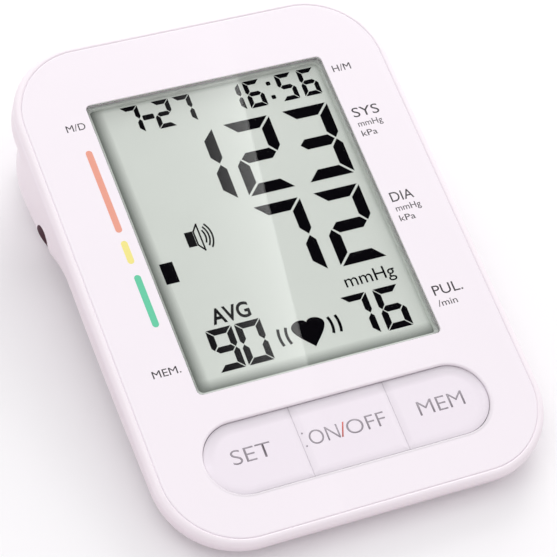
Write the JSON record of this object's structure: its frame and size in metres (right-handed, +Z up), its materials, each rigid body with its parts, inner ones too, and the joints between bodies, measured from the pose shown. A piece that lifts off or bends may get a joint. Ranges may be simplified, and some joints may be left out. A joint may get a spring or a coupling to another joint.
{
  "type": "arm blood pressure monitor",
  "caption": "Wedge shaped table-top blood pressure monitor with a large display window, a strip of press keys, a side air socket and a hump with a hinged battery door.",
  "frame": {"origin": "centre of the footprint box, on the plane the four feet stand on", "axes": "+X to the user's right, +Y from the keys to the rear, +Z up; the face slopes 10.5 degrees, higher at the rear"},
  "size_m": [0.104, 0.1454, 0.0341],
  "materials": {
    "case_white": "moulded, satin gloss",
    "panel_white": "printed gloss panel",
    "key_white": "satin gloss",
    "clear_lens": "clear, polished",
    "grey_foam": "closed cell foam",
    "lcd_glass": "reflective liquid crystal glass",
    "reflector_film": "silvered film",
    "inner_white": "moulded",
    "conductive_rubber": "striped elastomer",
    "circuit_board": "solder mask",
    "black_plastic": "moulded",
    "zinc_steel": "zinc plated",
    "ribbon_film": "flat cable film",
    "grey_rubber": "moulded",
    "black_rubber": "moulded",
    "cell_can": "plain wrapped cell",
    "nickel_strip": "nickel plated",
    "motor_can": "zinc plated",
    "soft_tube": "silicone"
  },
  "bodies": {
    "case": {"front_case": "case_white", "face_panel": "panel_white", "display_lens": "clear_lens", "lcd_gasket": "grey_foam", "lcd_glass": "lcd_glass", "lcd_reflector": "reflector_film", "lcd_holder": "inner_white", "contact_strip": "conductive_rubber", "main_board": "circuit_board", "key_board": "circuit_board", "switch_bodies": "black_plastic", "board_screws": "zinc_steel", "key_ribbon": "ribbon_film", "board_chips": "black_plastic", "rear_case": "case_white", "case_screws": "zinc_steel", "rubber_feet": "grey_rubber", "battery_cells": "cell_can", "contact_plates": "nickel_strip", "contact_springs": "nickel_strip", "cuff_socket": "black_plastic", "pump_motor": "motor_can", "pump_head": "black_plastic", "pump_cradle": "black_rubber", "release_valve": "motor_can", "pressure_sensor": "black_plastic", "air_manifold": "inner_white", "air_tubes": "soft_tube", "loudspeaker": "black_plastic", "power_inlet": "nickel_strip"},
    "set_button": {"set_key": "key_white", "set_plunger": "black_plastic"},
    "power_button": {"power_key": "key_white", "power_plunger": "black_plastic"},
    "memory_button": {"memory_key": "key_white", "memory_plunger": "black_plastic"},
    "battery_cover": {"battery_door": "case_white"}
  },
  "joints": [
    {"name": "set_press", "type": "slide", "parent": "case", "child": "set_button", "axis": [0, 0.1822, -0.9833], "range_m": [0, 0.0005], "stiffness_N_per_m": 800},
    {"name": "power_press", "type": "slide", "parent": "case", "child": "power_button", "axis": [0, 0.1822, -0.9833], "range_m": [0, 0.0005], "stiffness_N_per_m": 800},
    {"name": "memory_press", "type": "slide", "parent": "case", "child": "memory_button", "axis": [0, 0.1822, -0.9833], "range_m": [0, 0.0005], "stiffness_N_per_m": 800},
    {"name": "battery_door_hinge", "type": "hinge", "parent": "case", "child": "battery_cover", "pos_m": [0, 0.01626, 0.00767], "axis": [-1, 0, 0], "range_deg": [0, 75]}
  ]
}
